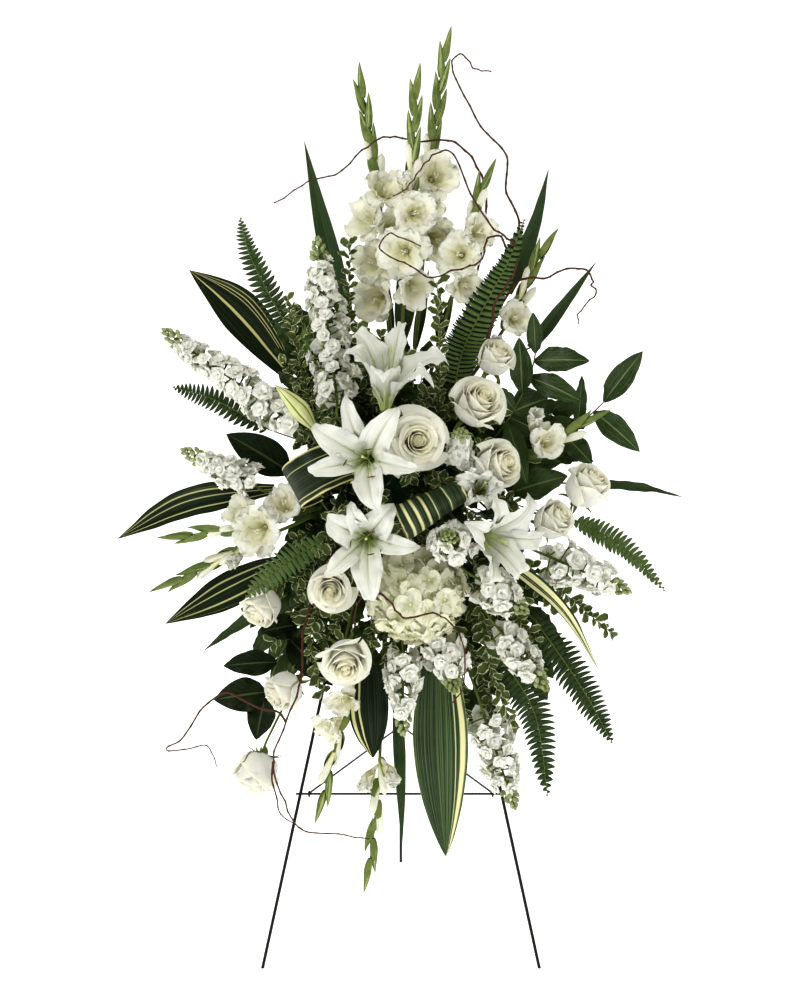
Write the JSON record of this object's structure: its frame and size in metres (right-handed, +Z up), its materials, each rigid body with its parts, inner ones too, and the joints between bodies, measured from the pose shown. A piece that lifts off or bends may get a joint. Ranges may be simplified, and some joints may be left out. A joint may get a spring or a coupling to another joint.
{
  "type": "standing funeral spray",
  "caption": "Funeral spray of white lilies, roses, gladioli, stock and hydrangea with fern and striped leaves in wet foam, on a black folding wire easel with a swinging rear leg.",
  "frame": {"origin": "on the floor, at the middle of the lower side of the whole spray's bounding box", "axes": "+Z up; the flowers face -Y; +X is to the viewer's right; the rear leg stands at +Y"},
  "size_m": [0.957, 0.8764, 1.587],
  "materials": {
    "easel_wire": "satin black",
    "holder_plastic": "matt",
    "floral_foam": "matt, wet foam",
    "tie_wire": "green enamel",
    "white_petal": "soft petal",
    "fern_green": "leaf",
    "striped_leaf": "leaf with pale stripes",
    "dark_leaf": "glossy leaf",
    "variegated_leaf": "leaf with cream margin",
    "willow_bark": "smooth bark"
  },
  "bodies": {
    "front_frame": {"easel_crossbar": "easel_wire", "easel_hinge_wire": "easel_wire", "easel_leg_left": "easel_wire", "easel_leg_right": "easel_wire", "fern_left": "fern_green", "fern_left_low": "fern_green", "fern_pair_low_right": "fern_green", "fern_right": "fern_green", "fern_top_left": "fern_green", "fern_upper_right": "fern_green", "flax_pair_low": "dark_leaf", "flax_right": "dark_leaf", "flax_top": "dark_leaf", "foam_block": "floral_foam", "gladiolus_pair_left": "white_petal", "gladiolus_pair_low": "white_petal", "gladiolus_right": "white_petal", "gladiolus_right_of_top": "white_petal", "gladiolus_top_left": "white_petal", "gladiolus_top_middle": "white_petal", "gladiolus_top_tall": "white_petal", "gladiolus_upper_right": "white_petal", "holder_tray": "holder_plastic", "hydrangea": "white_petal", "lily_high": "white_petal", "lily_pair_left": "white_petal", "lily_pair_right": "white_petal", "pittosporum_left": "variegated_leaf", "pittosporum_right": "variegated_leaf", "rose_centre_high": "white_petal", "rose_high_right": "white_petal", "rose_left": "white_petal", "rose_pair_centre_left": "white_petal", "rose_pair_low_left": "white_petal", "rose_pair_right": "white_petal", "rose_pair_upper_right": "white_petal", "salal_low_left": "dark_leaf", "salal_right": "dark_leaf", "stock_hanging": "white_petal", "stock_pair_centre": "white_petal", "stock_pair_left": "white_petal", "stock_pair_low": "white_petal", "stock_pair_right_low": "white_petal", "stock_right": "white_petal", "stock_top_left": "white_petal", "striped_leaf_left": "striped_leaf", "striped_leaf_loop_left": "striped_leaf", "striped_leaf_low_left": "striped_leaf", "striped_leaf_pair_low": "striped_leaf", "striped_leaf_right": "striped_leaf", "striped_leaf_roll_right": "striped_leaf", "striped_leaf_top_left": "striped_leaf", "tie_lower": "tie_wire", "tie_upper": "tie_wire", "willow_across_top": "willow_bark", "willow_low_left": "willow_bark", "willow_right": "willow_bark", "willow_top_right": "willow_bark"},
    "rear_leg": {"easel_rear_leg": "easel_wire"},
    "brace": {"easel_brace": "easel_wire"}
  },
  "joints": [
    {"name": "rear_leg_hinge", "type": "hinge", "parent": "front_frame", "child": "rear_leg", "pos_m": [0.00112, 0.03124, 0.98971], "axis": [-1, 0, 0], "range_deg": [0, 27]},
    {"name": "brace_hinge", "type": "hinge", "parent": "front_frame", "child": "brace", "pos_m": [0.00112, -0.11822, 0.28894], "axis": [1, 0, 0], "range_deg": [0, 57]}
  ],
  "couplings": [
    {"joint": "brace_hinge", "follows": "rear_leg_hinge", "ratio": 2.1}
  ]
}
